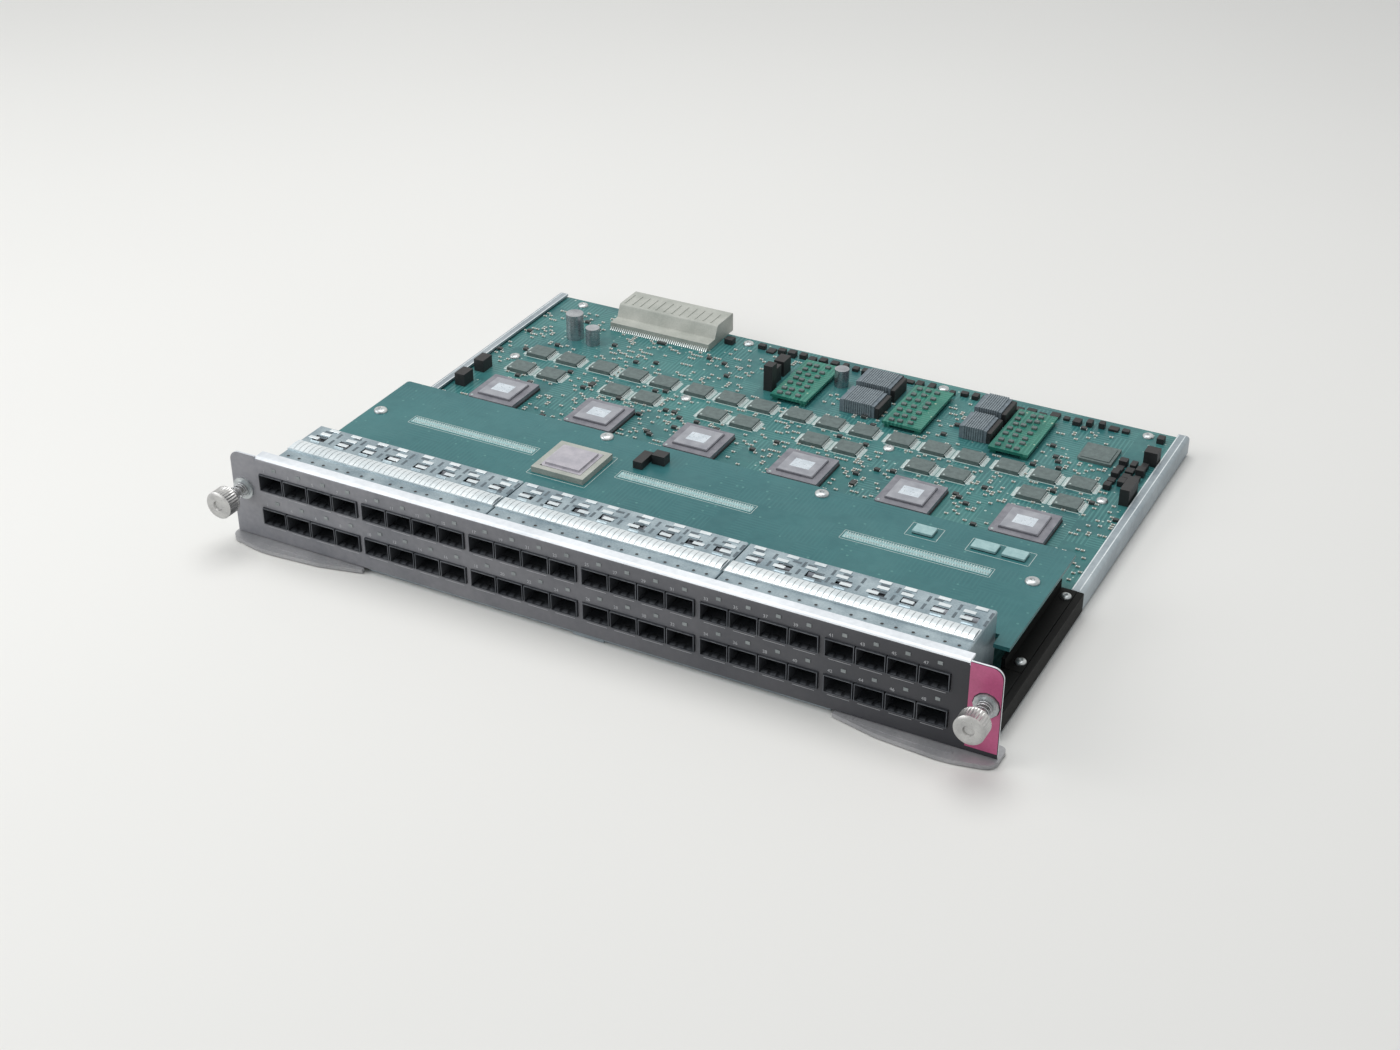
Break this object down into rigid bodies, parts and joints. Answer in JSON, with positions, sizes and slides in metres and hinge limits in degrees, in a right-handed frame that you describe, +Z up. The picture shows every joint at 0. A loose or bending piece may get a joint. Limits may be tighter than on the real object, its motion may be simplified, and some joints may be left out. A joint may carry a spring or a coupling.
{
  "type": "switch line card",
  "caption": "Rack-chassis switch line card: front panel with stacked pluggable-transceiver ports, ejector levers, captive screws and boards on a steel carrier tray.",
  "frame": {"origin": "on the carrier tray's underside, on the centre line, at the inner face of the tray's front lip", "axes": "+X along the front panel to the right seen from the front, +Y from the front panel to the backplane connector, +Z up from the tray to the boards"},
  "size_m": [0.394, 0.3175, 0.047],
  "materials": {
    "panel_paint": "satin",
    "end_label": "gloss",
    "tray_steel": "satin",
    "main_board": "satin",
    "mezzanine_board": "satin",
    "plated_brass": "satin",
    "screw_steel": "satin",
    "strip_steel": "polished",
    "light_pipe": "gloss",
    "lever_steel": "satin",
    "thumb_screw": "satin",
    "ferrule": "satin",
    "spring_steel": "satin",
    "cage_steel": "stamped",
    "partition_steel": "stamped",
    "black_plastic": "matte",
    "chip_black": "matte",
    "chip_lid": "satin",
    "processor_lid": "satin",
    "small_chip": "satin",
    "cream_plastic": "satin",
    "ferrite": "matte",
    "capacitor_can": "satin",
    "power_board": "satin"
  },
  "bodies": {
    "card": {"faceplate": "panel_paint", "end_label": "end_label", "carrier_tray": "tray_steel", "main_board": "main_board", "mezzanine_board": "mezzanine_board", "mezzanine_standoffs": "plated_brass", "mezzanine_screws": "screw_steel", "tray_standoffs": "screw_steel", "board_screws": "screw_steel", "shield_strips": "strip_steel", "light_pipes_upper": "light_pipe", "light_pipes_lower": "light_pipe", "ejector_pivots": "screw_steel", "screw_ferrule_left": "ferrule", "screw_ferrule_right": "ferrule", "screw_spring_left": "spring_steel", "screw_spring_right": "spring_steel", "control_chip": "chip_black", "processor_chip": "processor_lid", "processor_socket": "cream_plastic", "small_chips": "small_chip", "backplane_connector": "cream_plastic", "power_inductors": "ferrite", "capacitors": "capacitor_can", "filter_block": "cream_plastic", "edge_blocks": "black_plastic", "deck_parts": "chip_black", "side_bracket": "black_plastic", "bracket_screws": "screw_steel", "port_cage_1": "cage_steel", "cage_partitions_1": "partition_steel", "cage_separators_1": "partition_steel", "port_connectors_1": "black_plastic", "stack_connector_1": "black_plastic", "power_board_1": "power_board", "port_cage_2": "cage_steel", "cage_partitions_2": "partition_steel", "cage_separators_2": "partition_steel", "port_connectors_2": "black_plastic", "stack_connector_2": "black_plastic", "power_board_2": "power_board", "port_cage_3": "cage_steel", "cage_partitions_3": "partition_steel", "cage_separators_3": "partition_steel", "port_connectors_3": "black_plastic", "stack_connector_3": "black_plastic", "power_board_3": "power_board", "phy_chip_1": "chip_lid", "phy_chip_2": "chip_lid", "phy_chip_3": "chip_lid", "phy_chip_4": "chip_lid", "phy_chip_5": "chip_lid", "phy_chip_6": "chip_lid"},
    "ejector_left_lever": {"ejector_left": "lever_steel"},
    "screw_left_carrier": {"screw_retainer_left": "spring_steel"},
    "screw_left": {"captive_screw_left": "thumb_screw"},
    "ejector_right_lever": {"ejector_right": "lever_steel"},
    "screw_right_carrier": {"screw_retainer_right": "spring_steel"},
    "screw_right": {"captive_screw_right": "thumb_screw"}
  },
  "joints": [
    {"name": "ejector_left_swing", "type": "hinge", "parent": "card", "child": "ejector_left_lever", "pos_m": [-0.188, 0.003, 0.0013], "axis": [0, 0, -1], "range_deg": [0, 55]},
    {"name": "screw_left_travel", "type": "slide", "parent": "card", "child": "screw_left_carrier", "axis": [0, 1, 0], "range_m": [0, 0.006], "stiffness_N_per_m": 120, "deforming": ["screw_spring_left"]},
    {"name": "screw_left_turn", "type": "hinge", "parent": "screw_left_carrier", "child": "screw_left", "pos_m": [-0.1895, 0, 0.028], "axis": [0, 1, 0], "continuous": true},
    {"name": "ejector_right_swing", "type": "hinge", "parent": "card", "child": "ejector_right_lever", "pos_m": [0.188, 0.003, 0.0013], "axis": [0, 0, 1], "range_deg": [0, 55]},
    {"name": "screw_right_travel", "type": "slide", "parent": "card", "child": "screw_right_carrier", "axis": [0, 1, 0], "range_m": [0, 0.006], "stiffness_N_per_m": 120, "deforming": ["screw_spring_right"]},
    {"name": "screw_right_turn", "type": "hinge", "parent": "screw_right_carrier", "child": "screw_right", "pos_m": [0.1895, 0, 0.028], "axis": [0, 1, 0], "continuous": true}
  ]
}
